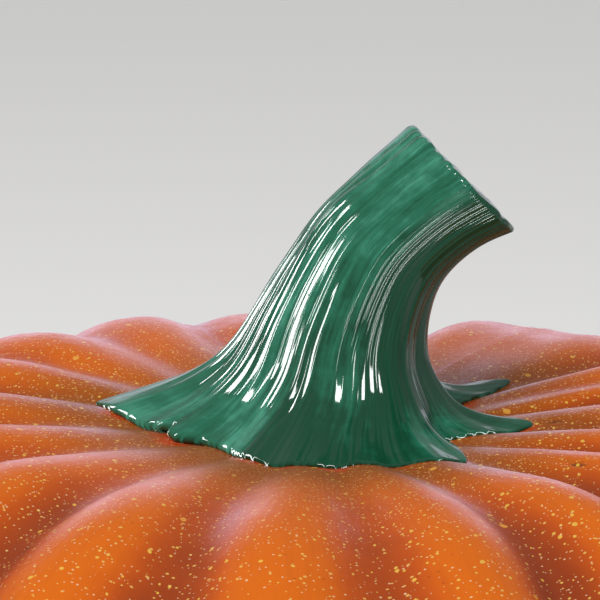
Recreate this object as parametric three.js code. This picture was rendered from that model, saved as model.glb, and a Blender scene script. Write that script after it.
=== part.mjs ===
// A ribbed pumpkin, as picked, with its glossy green stem. Millimetres, +Z up.
// It stands on z = 0, its axis is the Z axis, and its front faces -Y.
// Azimuths are in degrees from the front, positive towards +X.

import * as THREE from 'three';

// Colours, and how matt each surface is
const RIND_ORANGE = 0xd8641c;
const RIND_ROUGHNESS = 0.4;
const STEM_GREEN = 0x1d6a48;
const STEM_ROUGHNESS = 0.1;

// How tightly the drawn lines bend round their points, and how finely their length is measured
const LINE_TENSION = 0.5;
const LINE_DIVISIONS = 2000;

// Crest line of the ribs: (distance from the axis, height), from the stem down to the resting spot
const CREST_LINE = [
	[ 0, 158 ], [ 22, 159 ], [ 45, 161.5 ], [ 70, 165 ], [ 95, 166.8 ], [ 118, 162.5 ],
	[ 140, 150 ], [ 156, 130 ], [ 165, 106 ], [ 166, 80 ], [ 159, 52 ], [ 142, 28 ],
	[ 119, 10.5 ], [ 95, 2.2 ], [ 70, 0 ], [ 46, 0 ], [ 23, 0 ], [ 0, 0 ],
];

// Valleys between the ribs: how deep they are, how fast they deepen away from the stem, between
// which distances along the crest line they run out under the fruit, over which share of a rib's
// half width their floor is rounded, and how level that floor is, 1 for level
const VALLEY_DEPTH = 14;
const VALLEY_RISE = 92;
const VALLEY_RISE_POWER = 2.7;
const VALLEY_FADE = [ 290, 400 ];
const VALLEY_ROUND = 0.36;
const VALLEY_LEVEL = 0.9;

// Each rib: azimuth of the valley on its left, that valley's share of the full depth on the top
// of the fruit, and how far the rib's own crest lies inside the crest line
const RIBS = [
	{ valley: - 178, share: 1.0, sunk: 1.5 },
	{ valley: - 160, share: 0.5, sunk: 0 },
	{ valley: - 142, share: 0.45, sunk: - 0.2 },
	{ valley: - 124, share: 0.6, sunk: - 0.4 },
	{ valley: - 105, share: 0.8, sunk: 0 },
	{ valley: - 83, share: 0.8, sunk: 0 },
	{ valley: - 60, share: 0.85, sunk: 0 },
	{ valley: - 36.5, share: 0.95, sunk: 0 },
	{ valley: - 14, share: 0.85, sunk: 0 },
	{ valley: 7, share: 0.7, sunk: 0 },
	{ valley: 25, share: 0.9, sunk: 0 },
	{ valley: 44, share: 1.0, sunk: 0 },
	{ valley: 62, share: 1.0, sunk: 0 },
	{ valley: 79, share: 0.95, sunk: 0 },
	{ valley: 99, share: 0.95, sunk: 0.5 },
	{ valley: 110, share: 0.4, sunk: 0.5 },
	{ valley: 121, share: 0.8, sunk: 0.6 },
	{ valley: 145, share: 0.15, sunk: 1.3 },
	{ valley: 163, share: 0.85, sunk: 1.5 },
];
const SHARES_EVEN_OUT = 0.6;
const SHARES_EVEN_FROM = [ 105, 190 ];
const SINK_IN = [ 0, 80 ];
const SINK_OUT = [ 300, 400 ];

// Centre line of the stem, from the top of the fruit to the cut end, leaning right and a little back
const STEM_LINE = [
	[ 0, 0, 0 ], [ 4.9, 0.6, 13.5 ], [ 7, 1.5, 26 ], [ 11.5, 2.9, 38.4 ],
	[ 17.1, 4.6, 47.8 ], [ 26.4, 6.6, 56.2 ], [ 37.1, 8.9, 63.4 ],
];
const STEM_TILT = 45.3;
const STEM_LEAN_BACK = 5;

// Radius of the stem, its swelling over the last part of its length, and the rounding of its cut edge
const STEM_RADIUS = 16.6;
const END_SWELL = 1.9;
const END_SWELL_FROM = 0.75;
const END_ROUND = 1.6;

// Outline of the stem's foot on the fruit, with its claws and gaps in turn: azimuth, distance from
// the axis, and height of its edge over the fruit
const FOOT = [
	[ - 160, 47, 1.2 ], [ - 150, 38.5, 1.4 ], [ - 134, 33, 1.6 ], [ - 120, 37.5, 1.2 ],
	[ - 105, 57.5, 0.9 ], [ - 92, 49.5, 2.2 ], [ - 74, 38.8, 2.8 ], [ - 62, 37.6, 2.8 ],
	[ - 55, 33, 2.6 ], [ - 38, 33.2, 2.2 ], [ - 27, 37.3, 1.6 ], [ - 15, 40, 1.1 ],
	[ 0, 42, 1 ], [ 14, 41.5, 1 ], [ 29, 46, 0.9 ], [ 36, 50.5, 0.8 ],
	[ 45, 51.5, 0.8 ], [ 63, 34.5, 1.4 ], [ 73.5, 45.5, 1 ], [ 83, 54.7, 0.7 ],
	[ 93, 42.5, 1 ], [ 104, 35, 1.4 ], [ 112, 39, 1.2 ], [ 124.5, 63, 0.8 ],
	[ 134, 44, 1.2 ], [ 144, 34, 1.6 ], [ 153, 38, 1.4 ], [ 163, 46, 1.2 ],
	[ 173, 38.5, 1.4 ], [ 182, 34.5, 1.6 ], [ 190, 38.5, 1.4 ],
];

// The foot's corners are a weighted mean of five places this many degrees apart: crisp at its
// edge, softer up the webs between the claws
const ROUNDING_WEIGHTS = [ 1, 2, 3, 2, 1 ];
const FOOT_ROUNDING = 0.7;
const WEB_ROUNDING = 7;
const WEB_LENGTH = 15;

// How quickly the foot narrows into the stem, how quickly its edge's height dies away, and how far
// up the stem still follows the ribs that it stands on
const FLARE_LENGTH = 15.8;
const LIP_LENGTH = 6;
const FOOT_FOLLOWS_RIBS = 30;

// Ridges that run up the stem from the claws: (azimuth, share of the full height)
const RIDGES = [
	[ - 160, 0.8 ], [ - 105, 0.9 ], [ - 64, 0.6 ], [ - 14, 0.7 ],
	[ 45, 0.5 ], [ 83, 0.6 ], [ 124.5, 0.6 ], [ 163, 0.8 ],
];
const RIDGE_HEIGHT = 1.3;
const RIDGE_WIDTH = 14;
const RIDGE_AT_FOOT = 0.35;
const RIDGE_AT_TOP = 0.35;
const RIDGE_FADE = [ 0.35, 0.8 ];

// Clear space between the stem and the fruit
const GAP = 0.35;

// Fineness of the facets
const RIB_STEPS = [ - 1, - 0.85, - 0.45, 0, 0.45, 0.85 ];
const BODY_ROWS = 31;
const FOOT_STEP = 3;
const UNDERSIDE_ROWS = 5;
const STEM_ROWS = 20;
const STEM_ROW_POWER = 1.6;
const END_ROWS = 3;

function smoothstep( low, high, value ) {

	return THREE.MathUtils.smoothstep( value, low, high );

}

function splineThrough( points ) {

	const vectors = points.map( ( point ) => new THREE.Vector3( ...point ) );
	const spline = new THREE.CatmullRomCurve3( vectors, false, 'catmullrom', LINE_TENSION );
	spline.arcLengthDivisions = LINE_DIVISIONS;
	return spline;

}

const crestCurve = splineThrough( CREST_LINE.map( ( [ r, z ] ) => [ r, 0, z ] ) );
const crestLength = crestCurve.getLength();
const stemCurve = splineThrough( STEM_LINE );
const stemLength = stemCurve.getLength();

// The rib at an azimuth: its valleys' shares, its own sink, and the place across it, -1 to 1
function ribAt( azimuth ) {

	const first = RIBS[ 0 ].valley;
	const turned = THREE.MathUtils.euclideanModulo( azimuth - first, 360 ) + first;
	const index = RIBS.findLastIndex( ( rib ) => rib.valley <= turned );
	const rib = RIBS[ index ];
	const next = RIBS[ ( index + 1 ) % RIBS.length ];
	const end = index + 1 < RIBS.length ? next.valley : first + 360;
	const across = 2 * ( turned - rib.valley ) / ( end - rib.valley ) - 1;
	const blend = smoothstep( - 1, 1, across );
	return { across, sunk: rib.sunk, share: THREE.MathUtils.lerp( rib.share, next.share, blend ) };

}

// How far the rind lies inside the crest line at an azimuth and a distance along the line
function inset( azimuth, along ) {

	const { across, sunk, share } = ribAt( azimuth );
	const past = Math.max( Math.abs( across ) - ( 1 - VALLEY_ROUND ), 0 );
	const dip = across * across - VALLEY_LEVEL * past * past / VALLEY_ROUND;
	const rise = 1 - Math.exp( - ( ( along / VALLEY_RISE ) ** VALLEY_RISE_POWER ) );
	const depth = VALLEY_DEPTH * rise * ( 1 - smoothstep( ...VALLEY_FADE, along ) );
	const evenedShare = share + ( 1 - share ) * SHARES_EVEN_OUT * smoothstep( ...SHARES_EVEN_FROM, along );
	const sink = sunk * smoothstep( ...SINK_IN, along ) * ( 1 - smoothstep( ...SINK_OUT, along ) );
	return depth * dip * evenedShare + sink * ( 1 - dip );

}

// A point of the rind
function rind( azimuth, along ) {

	const place = THREE.MathUtils.clamp( along / crestLength, 0, 1 );
	const crest = crestCurve.getPointAt( place );
	const tangent = crestCurve.getTangentAt( place );
	const inward = inset( azimuth, along );
	const radius = Math.max( crest.x + tangent.z * inward, 0 );
	const height = Math.max( crest.z - tangent.x * inward, 0 );
	const angle = THREE.MathUtils.degToRad( azimuth );
	return new THREE.Vector3( radius * Math.sin( angle ), - radius * Math.cos( angle ), height );

}

// Height of the rind's top under a point. Near the stem the crest line is almost level, so the
// distance along it is the distance from the axis.
function rindHeight( x, y ) {

	return rind( THREE.MathUtils.radToDeg( Math.atan2( x, - y ) ), Math.hypot( x, y ) ).z;

}

// The two corners of the foot that an azimuth lies between, as angles away from it, with their
// distances from the axis and their heights
function cornersAt( azimuth ) {

	const first = FOOT[ 0 ][ 0 ];
	const turned = THREE.MathUtils.euclideanModulo( azimuth - first, 360 ) + first;
	const index = FOOT.findLastIndex( ( corner ) => corner[ 0 ] <= turned );
	const [ a, nearReach, nearLip ] = FOOT[ index ];
	const [ b, farReach, farLip ] = FOOT[ ( index + 1 ) % FOOT.length ];
	const past = turned - a;
	const left = ( index + 1 < FOOT.length ? b : b + 360 ) - turned;
	return { past, left, nearReach, farReach, nearLip, farLip };

}

// Distance from the axis to the straight-sided outline of the foot
function footEdge( azimuth ) {

	const { past, left, nearReach, farReach } = cornersAt( azimuth );
	const sine = ( degrees ) => Math.sin( THREE.MathUtils.degToRad( degrees ) );
	return nearReach * farReach * sine( past + left ) / ( nearReach * sine( past ) + farReach * sine( left ) );

}

// The same with its tips and corners rounded
function roundedEdge( azimuth, apart ) {

	const middle = ( ROUNDING_WEIGHTS.length - 1 ) / 2;
	let total = 0;
	let weights = 0;
	ROUNDING_WEIGHTS.forEach( ( weight, k ) => {

		total += weight * footEdge( azimuth + ( k - middle ) * apart );
		weights += weight;

	} );
	return total / weights;

}

// Reach of the foot's outline, crisp at its edge and softer up the stem
function footReach( azimuth, along ) {

	const crisp = roundedEdge( azimuth, FOOT_ROUNDING );
	const soft = roundedEdge( azimuth, WEB_ROUNDING );
	return THREE.MathUtils.lerp( crisp, soft, smoothstep( 0, WEB_LENGTH, along ) );

}

// Height of the foot's edge over the fruit
function lipHeight( azimuth ) {

	const { past, left, nearLip, farLip } = cornersAt( azimuth );
	return THREE.MathUtils.lerp( nearLip, farLip, past / ( past + left ) );

}

// Height of the stem's ridges at an azimuth, above and below their mean
function ridgeHeight( azimuth ) {

	const mean = RIDGE_WIDTH * Math.sqrt( Math.PI ) / 360;
	let height = 0;
	for ( const [ ridge, share ] of RIDGES ) {

		const away = THREE.MathUtils.euclideanModulo( azimuth - ridge + 180, 360 ) - 180;
		height += share * ( Math.exp( - ( ( away / RIDGE_WIDTH ) ** 2 ) ) - mean );

	}

	return RIDGE_HEIGHT * height;

}

// Radius of the stem about its centre line
function stemRadius( azimuth, along ) {

	const place = along / stemLength;
	const swell = END_SWELL * Math.max( ( place - END_SWELL_FROM ) / ( 1 - END_SWELL_FROM ), 0 ) ** 2;
	const close = THREE.MathUtils.clamp( ( along - stemLength ) / END_ROUND + 1, 0, 1 );
	const neck = STEM_RADIUS + swell - END_ROUND * ( 1 - Math.sqrt( 1 - close * close ) );

	const last = Math.exp( - stemLength / FLARE_LENGTH );
	const flare = ( Math.exp( - along / FLARE_LENGTH ) - last ) / ( 1 - last );
	const aboveFoot = THREE.MathUtils.lerp( 1, RIDGE_AT_FOOT, flare );
	const belowTop = THREE.MathUtils.lerp( 1, RIDGE_AT_TOP, smoothstep( ...RIDGE_FADE, place ) );
	const spread = ( footReach( azimuth, along ) - STEM_RADIUS ) * flare;
	return neck + spread + ridgeHeight( azimuth ) * aboveFoot * belowTop;

}

// A point of the stem's skin at an azimuth and a distance along its centre line
function stemSkin( azimuth, along ) {

	const place = along / stemLength;
	const tilt = THREE.MathUtils.degToRad( STEM_TILT ) * place;
	const lean = THREE.MathUtils.degToRad( STEM_LEAN_BACK ) * place;
	const sideways = Math.sin( tilt ) * Math.cos( lean );
	const upwards = Math.cos( tilt ) * Math.cos( lean );
	const axis = new THREE.Vector3( sideways, Math.sin( lean ), upwards );
	const right = new THREE.Vector3( Math.cos( tilt ), 0, - Math.sin( tilt ) );
	const front = right.clone().cross( axis );

	const radius = stemRadius( azimuth, along );
	const angle = THREE.MathUtils.degToRad( azimuth );
	const point = stemCurve.getPointAt( place );
	point.addScaledVector( right, radius * Math.sin( angle ) );
	point.addScaledVector( front, radius * Math.cos( angle ) );

	const follow = 1 - smoothstep( 0, FOOT_FOLLOWS_RIBS, along );
	const seat = THREE.MathUtils.lerp( CREST_LINE[ 0 ][ 1 ], rindHeight( point.x, point.y ), follow );
	point.z += seat + lipHeight( azimuth ) * Math.exp( - along / LIP_LENGTH );
	return point;

}

// Azimuths of the fruit's facets: the valley, the crest and the flanks of each rib
function ribAzimuths() {

	return RIBS.flatMap( ( { valley }, index ) => {

		const end = index + 1 < RIBS.length ? RIBS[ index + 1 ].valley : RIBS[ 0 ].valley + 360;
		return RIB_STEPS.map( ( step ) => THREE.MathUtils.lerp( valley, end, ( step + 1 ) / 2 ) );

	} );

}

// Azimuths of the stem's facets, with one on each corner of the foot
function footAzimuths() {

	return FOOT.flatMap( ( [ corner ], index ) => {

		const end = index + 1 < FOOT.length ? FOOT[ index + 1 ][ 0 ] : FOOT[ 0 ][ 0 ] + 360;
		const steps = Math.round( ( end - corner ) / FOOT_STEP );
		return Array.from( { length: steps }, ( _, k ) => THREE.MathUtils.lerp( corner, end, k / steps ) );

	} );

}

// Distances along the stem of the rings of its skin, the last few of them round the cut edge
function stemRows() {

	const rows = [];
	for ( let row = 0; row <= STEM_ROWS; row ++ ) {

		rows.push( ( stemLength - END_ROUND ) * ( row / STEM_ROWS ) ** STEM_ROW_POWER );

	}

	for ( let row = 1; row <= END_ROWS; row ++ ) {

		rows.push( stemLength - END_ROUND * ( 1 - Math.sin( Math.PI / 2 * row / END_ROWS ) ) );

	}

	return rows;

}

// A closed mesh from rings of points, from the lowest to the highest, with a point below and above them
function closedSkin( rings, below, above ) {

	const count = rings[ 0 ].length;
	const points = [ ...rings.flat(), below, above ];
	const lowPole = points.length - 2;
	const highPole = points.length - 1;
	const faces = [];
	for ( let j = 0; j < count; j ++ ) {

		const k = ( j + 1 ) % count;
		faces.push( lowPole, k, j );
		for ( let row = 0; row < rings.length - 1; row ++ ) {

			const low = row * count;
			const high = low + count;
			faces.push( low + j, low + k, high + k );
			faces.push( low + j, high + k, high + j );

		}

		const last = ( rings.length - 1 ) * count;
		faces.push( last + j, last + k, highPole );

	}

	const geometry = new THREE.BufferGeometry().setFromPoints( points );
	geometry.setIndex( faces );
	geometry.computeVertexNormals();
	return geometry;

}

function bodyGeometry() {

	const azimuths = ribAzimuths();
	const rings = [];
	for ( let row = BODY_ROWS; row > 0; row -- ) {

		const along = crestLength * row / ( BODY_ROWS + 1 );
		rings.push( azimuths.map( ( azimuth ) => rind( azimuth, along ) ) );

	}

	return closedSkin( rings, rind( 0, crestLength ), rind( 0, 0 ) );

}

// The stem's underside follows the rind, its skin rises from the edge of the foot to the cut end
function stemGeometry() {

	const azimuths = footAzimuths();
	const foot = azimuths.map( ( azimuth ) => stemSkin( azimuth, 0 ) );
	const above = ( x, y ) => new THREE.Vector3( x, y, rindHeight( x, y ) + GAP );
	const rings = [];
	for ( let row = 1; row <= UNDERSIDE_ROWS; row ++ ) {

		const share = row / UNDERSIDE_ROWS;
		rings.push( foot.map( ( { x, y } ) => above( x * share, y * share ) ) );

	}

	for ( const along of stemRows() ) {

		rings.push( azimuths.map( ( azimuth ) => stemSkin( azimuth, along ) ) );

	}

	const cut = rings.at( - 1 );
	const cutCentre = new THREE.Vector3();
	for ( const point of cut ) cutCentre.addScaledVector( point, 1 / cut.length );
	return closedSkin( rings, above( 0, 0 ), cutCentre );

}

function namedMesh( name, geometry, color, roughness ) {

	const mesh = new THREE.Mesh( geometry, new THREE.MeshStandardMaterial( { color, roughness, metalness: 0 } ) );
	mesh.name = name;
	return mesh;

}

const pumpkin = new THREE.Group();
pumpkin.add( namedMesh( 'pumpkin_body', bodyGeometry(), RIND_ORANGE, RIND_ROUGHNESS ) );
pumpkin.add( namedMesh( 'pumpkin_stem', stemGeometry(), STEM_GREEN, STEM_ROUGHNESS ) );

export default pumpkin;
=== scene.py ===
"""Fine model of a broad ribbed pumpkin with a glossy green stem.

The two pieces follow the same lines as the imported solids, in metres and in the same frame: +Z up,
the axis of the fruit on the Z axis, the front facing -Y. Azimuths are in degrees from the front,
positive towards +X.
"""

from __future__ import annotations

import logging
import math
from collections.abc import Sequence
from dataclasses import dataclass
from enum import Enum

import bpy
import numpy as np
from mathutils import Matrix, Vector

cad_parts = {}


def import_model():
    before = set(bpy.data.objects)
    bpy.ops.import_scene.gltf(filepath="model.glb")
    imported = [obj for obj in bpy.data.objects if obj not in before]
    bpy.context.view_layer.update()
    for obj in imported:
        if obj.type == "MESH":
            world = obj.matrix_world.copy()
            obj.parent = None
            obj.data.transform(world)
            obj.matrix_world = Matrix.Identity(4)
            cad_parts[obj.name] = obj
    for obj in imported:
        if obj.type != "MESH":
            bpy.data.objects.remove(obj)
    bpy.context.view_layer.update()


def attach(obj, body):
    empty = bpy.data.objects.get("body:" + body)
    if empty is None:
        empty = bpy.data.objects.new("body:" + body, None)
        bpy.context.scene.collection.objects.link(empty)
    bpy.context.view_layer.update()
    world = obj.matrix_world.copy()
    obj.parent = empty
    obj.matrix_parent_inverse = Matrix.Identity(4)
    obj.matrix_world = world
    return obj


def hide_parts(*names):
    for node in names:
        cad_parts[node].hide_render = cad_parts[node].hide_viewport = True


Array = np.ndarray
Object = bpy.types.Object
Socket = bpy.types.NodeSocket
Pair = tuple[float, float]
Triple = tuple[float, float, float]

LOG = logging.getLogger("pumpkin")
PLACE = "skin_place"
VALLEY_COLOUR_AND_SHADE = "valley"
CRACK = "crack"
FOOT_DISTANCE = "foot_distance"
GROOVE = "groove"
HEIGHT_SHARE = "height_share"

# How far the shape of a speck strays from a ball, its smallest size, the share of its radius that is
# solid, the size of the duller middle that some specks have, and the share that have none
SPECK_WOBBLE = 0.3
SPECK_SMALLEST = 0.4
SPECK_SOLID = 0.72
SPECK_MIDDLE = 0.45
SPECKS_WITHOUT_MIDDLE = 0.6

# How high the fine grain of a skin stands, as a share of the coarse grain
FINE_GRAIN_SHARE = 0.35

# How far apart the inner rings of a plain tube's ends lie, for a tube of radius 1
INSET_STEP = 0.05


def smoothstep(low: float, high: float, value: Array) -> Array:
    """Rise smoothly from 0 at low to 1 at high."""
    share = np.clip((value - low) / (high - low), 0, 1)
    return share * share * (3 - 2 * share)


def colour(code: str) -> tuple[float, float, float, float]:
    """Turn a screen colour such as "d8641c" into linear red, green, blue and alpha.

    Args:
        code: Six hexadecimal digits.

    Returns:
        The colour as shaders take it.
    """
    screen = [part / 255 for part in bytes.fromhex(code)]
    linear = [part / 12.92 if part <= 0.04045 else ((part + 0.055) / 1.055) ** 2.4 for part in screen]
    return (*linear, 1.0)


def drawn_out_noise(azimuth: Array, place: Array, around: int, lengthwise: int, seed: int) -> Array:
    """Smooth noise that closes round the axis and is drawn out along it.

    Args:
        azimuth: Azimuths, in degrees.
        place: Places along the piece, 0 to 1.
        around: Number of random values round the axis.
        lengthwise: Number of random steps along it.
        seed: Seed of the random values.

    Returns:
        Values from -1 to 1, one for each azimuth and place.
    """
    values = np.random.default_rng(seed).uniform(-1, 1, (around, lengthwise + 1))
    turn = np.mod(azimuth / 360, 1) * around
    step = np.clip(place, 0, 1) * lengthwise
    column = np.floor(turn).astype(int)
    row = np.minimum(np.floor(step).astype(int), lengthwise - 1)
    across = smoothstep(0, 1, turn - column)
    up = smoothstep(0, 1, step - row)
    column = column % around
    beside = (column + 1) % around
    low = values[column, row] * (1 - across) + values[beside, row] * across
    high = values[column, row + 1] * (1 - across) + values[beside, row + 1] * across
    return low * (1 - up) + high * up


def noise_round(azimuth: Array, around: int, seed: int) -> Array:
    """Smooth noise that changes round the axis only."""
    return drawn_out_noise(azimuth, np.zeros_like(azimuth), around, 1, seed)


def grid_normals(grid: Array) -> Array:
    """Find the outward normals of a grid of rings that run round the axis and rise or fall in order.

    Args:
        grid: Points, by ring and by place round the ring.

    Returns:
        A unit normal for each point.
    """
    along = np.gradient(grid, axis=0)
    around = np.roll(grid, -1, axis=1) - np.roll(grid, 1, axis=1)
    normals = np.cross(around, along)
    return normals / np.maximum(np.linalg.norm(normals, axis=-1, keepdims=True), 1e-12)


class SmoothLine:
    """A smooth line through chosen points, measured along its length."""

    def __init__(self, points: Sequence[Sequence[float]], steps: int = 300) -> None:
        """Draw the line.

        Args:
            points: The points that it runs through.
            steps: How many short steps lead from one point to the next.
        """
        given = np.array(points, float)
        knots = np.vstack([2 * given[0] - given[1], given, 2 * given[-1] - given[-2]])
        share = np.linspace(0, 1, steps, endpoint=False)[:, None]
        pieces = []
        for before, start, end, after in zip(knots, knots[1:], knots[2:], knots[3:]):
            leave, arrive = (end - before) / 2, (after - start) / 2
            cubic = 2 * (start - end) + leave + arrive
            square = 3 * (end - start) - 2 * leave - arrive
            pieces.append(start + leave * share + square * share**2 + cubic * share**3)
        self.line = np.vstack([*pieces, given[-1:]])
        lengths = np.linalg.norm(np.diff(self.line, axis=0), axis=1)
        self.along = np.concatenate([[0.0], np.cumsum(lengths)])
        self.length = float(self.along[-1])
        self.slope = np.gradient(self.line, self.along, axis=0)

    def at(self, along: Array) -> Array:
        """Give the points at distances along the line."""
        return np.stack([np.interp(along, self.along, part) for part in self.line.T], axis=-1)

    def direction(self, along: Array) -> Array:
        """Give the directions at distances along the line."""
        slope = np.stack([np.interp(along, self.along, part) for part in self.slope.T], axis=-1)
        return slope / np.linalg.norm(slope, axis=-1, keepdims=True)


class NodeTree:
    """A shader tree, or a group's tree, that is filled node by node."""

    def __init__(self, tree: bpy.types.NodeTree) -> None:
        """Empty the tree that is to be filled."""
        self.tree = tree
        tree.nodes.clear()

    def add(self, kind: str, inputs: dict | None = None, **settings: object) -> bpy.types.Node:
        """Add a node.

        Args:
            kind: The node's type, without its leading "ShaderNode".
            inputs: A value, or another node's output, for each input that is set.
            **settings: The node's own settings.

        Returns:
            The new node.
        """
        node = self.tree.nodes.new(kind if kind.startswith("NodeGroup") else "ShaderNode" + kind)
        for name, value in settings.items():
            setattr(node, name, value)
        for name, value in (inputs or {}).items():
            if isinstance(value, Socket):
                self.tree.links.new(value, node.inputs[name])
            else:
                node.inputs[name].default_value = value
        return node

    def attribute(self, name: str, output: str = "Fac") -> Socket:
        """Read one of the mesh's attributes."""
        return self.add("Attribute", attribute_name=name).outputs[output]

    def maths(self, operation: str, first: object, second: object = 0.0) -> Socket:
        """Combine two values."""
        return self.add("Math", {0: first, 1: second}, operation=operation).outputs[0]

    def times(self, first: object, second: object) -> Socket:
        """Multiply two values."""
        return self.maths("MULTIPLY", first, second)

    def plus(self, first: object, second: object) -> Socket:
        """Add two values."""
        return self.maths("ADD", first, second)

    def minus(self, first: object, second: object) -> Socket:
        """Take the second value from the first."""
        return self.maths("SUBTRACT", first, second)

    def spread(
        self, value: object, low: object, high: object, start: object = 0.0, end: object = 1.0
    ) -> Socket:
        """Lead smoothly from start, where value is low or less, to end, where it is high or more."""
        inputs = {"Value": value, "From Min": low, "From Max": high, "To Min": start, "To Max": end}
        return self.add("MapRange", inputs, interpolation_type="SMOOTHSTEP").outputs["Result"]

    def mix(self, share: object, first: object, second: object) -> Socket:
        """Mix two colours."""
        return self.add("Mix", {0: share, 6: first, 7: second}, data_type="RGBA").outputs[2]

    def noise(self, vector: object, scale: object, detail: float = 3.0, roughness: float = 0.55) -> Socket:
        """Read smooth noise, 0 to 1."""
        inputs = {"Vector": vector, "Scale": scale, "Detail": detail, "Roughness": roughness}
        return self.add("TexNoise", inputs).outputs["Fac"]


def new_group(
    name: str, inputs: dict[str, str], outputs: dict[str, str]
) -> tuple[bpy.types.NodeTree, NodeTree, bpy.types.Node]:
    """Start a shader node group.

    Args:
        name: The group's name.
        inputs: The kind of each input socket, by name.
        outputs: The kind of each output socket, by name.

    Returns:
        The group, its tree to fill, and the node that gives its inputs.
    """
    group = bpy.data.node_groups.new(name, "ShaderNodeTree")
    for label, kind in inputs.items():
        group.interface.new_socket(label, in_out="INPUT", socket_type="NodeSocket" + kind)
    for label, kind in outputs.items():
        group.interface.new_socket(label, in_out="OUTPUT", socket_type="NodeSocket" + kind)
    tree = NodeTree(group)
    return group, tree, tree.add("NodeGroupInput")


def speck_group() -> bpy.types.NodeTree:
    """Make the group that scatters specks of uneven size over a skin.

    Returns:
        The group: a mask of the specks, and a mask of their middles.
    """
    inputs = {"Vector": "Vector", "Spacing": "Float", "Radius": "Float", "Share": "Float"}
    group, tree, given = new_group("Specks", inputs, {"Mask": "Float", "Middle": "Float"})
    scale = tree.maths("DIVIDE", 1.0, given.outputs["Spacing"])
    wobble = tree.add("TexNoise", {"Vector": given.outputs["Vector"], "Scale": scale, "Detail": 2.0})
    centred = tree.add("VectorMath", {0: wobble.outputs["Color"], 1: (0.5, 0.5, 0.5)}, operation="SUBTRACT")
    amount = tree.times(given.outputs["Spacing"], SPECK_WOBBLE)
    shift = tree.add("VectorMath", {0: centred.outputs[0], "Scale": amount}, operation="SCALE")
    place = tree.add("VectorMath", {0: given.outputs["Vector"], 1: shift.outputs[0]}, operation="ADD")
    cells = tree.add("TexVoronoi", {"Vector": place.outputs[0], "Scale": scale})
    draw = tree.add("SeparateColor", {"Color": cells.outputs["Color"]})
    floor = tree.minus(1.0, given.outputs["Share"])
    draws = {"Value": draw.outputs[0], "From Min": floor, "From Max": 1.0, "To Min": SPECK_SMALLEST}
    size = tree.add("MapRange", draws)
    radius = tree.times(size.outputs["Result"], given.outputs["Radius"])
    distance = tree.times(cells.outputs["Distance"], given.outputs["Spacing"])
    inner = tree.times(radius, SPECK_SOLID)
    mask = tree.spread(distance, inner, radius, 1.0, 0.0)
    there = tree.maths("GREATER_THAN", draw.outputs[0], floor)
    middle_edge = tree.times(radius, SPECK_MIDDLE)
    middle = tree.spread(distance, 0.0, middle_edge, 1.0, 0.0)
    ringed = tree.maths("GREATER_THAN", draw.outputs[1], SPECKS_WITHOUT_MIDDLE)
    tree.add("NodeGroupOutput", {
        "Mask": tree.times(mask, there),
        "Middle": tree.times(tree.times(middle, ringed), there),
    })
    return group


def streak_group() -> bpy.types.NodeTree:
    """Make the group that draws streaks along a skin, from the stem outwards.

    Returns:
        The group: the streaks, 0 to 1.
    """
    inputs = {"Vector": "Vector", "Width": "Float", "Length": "Float"}
    group, tree, given = new_group("Streaks", inputs, {"Streak": "Float"})
    place = tree.add("SeparateXYZ", {"Vector": given.outputs["Vector"]})
    across = tree.maths("DIVIDE", 1.0, given.outputs["Width"])
    lengthwise = tree.maths("DIVIDE", 1.0, given.outputs["Length"])
    drawn = tree.add("CombineXYZ", {
        "X": tree.times(place.outputs[0], across),
        "Y": tree.times(place.outputs[1], across),
        "Z": tree.times(place.outputs[2], lengthwise),
    })
    tree.add("NodeGroupOutput", {"Streak": tree.noise(drawn.outputs[0], 1.0, 4.0, 0.6)})
    return group


def grain_group() -> bpy.types.NodeTree:
    """Make the group of the fine unevenness that both skins have.

    Returns:
        The group: a height in metres.
    """
    inputs = {"Vector": "Vector", "Coarse": "Float", "Fine": "Float", "Depth": "Float"}
    group, tree, given = new_group("Grain", inputs, {"Height": "Float"})
    coarse = tree.noise(given.outputs["Vector"], tree.maths("DIVIDE", 1.0, given.outputs["Coarse"]))
    fine = tree.noise(given.outputs["Vector"], tree.maths("DIVIDE", 1.0, given.outputs["Fine"]))
    both = tree.plus(coarse, tree.times(fine, FINE_GRAIN_SHARE))
    tree.add("NodeGroupOutput", {"Height": tree.times(both, given.outputs["Depth"])})
    return group


@dataclass(frozen=True)
class Effects:
    """The shader groups that the finishes share."""

    specks: bpy.types.NodeTree
    streaks: bpy.types.NodeTree
    grain: bpy.types.NodeTree

    @classmethod
    def make(cls) -> Effects:
        """Build each group once."""
        return cls(speck_group(), streak_group(), grain_group())


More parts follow.
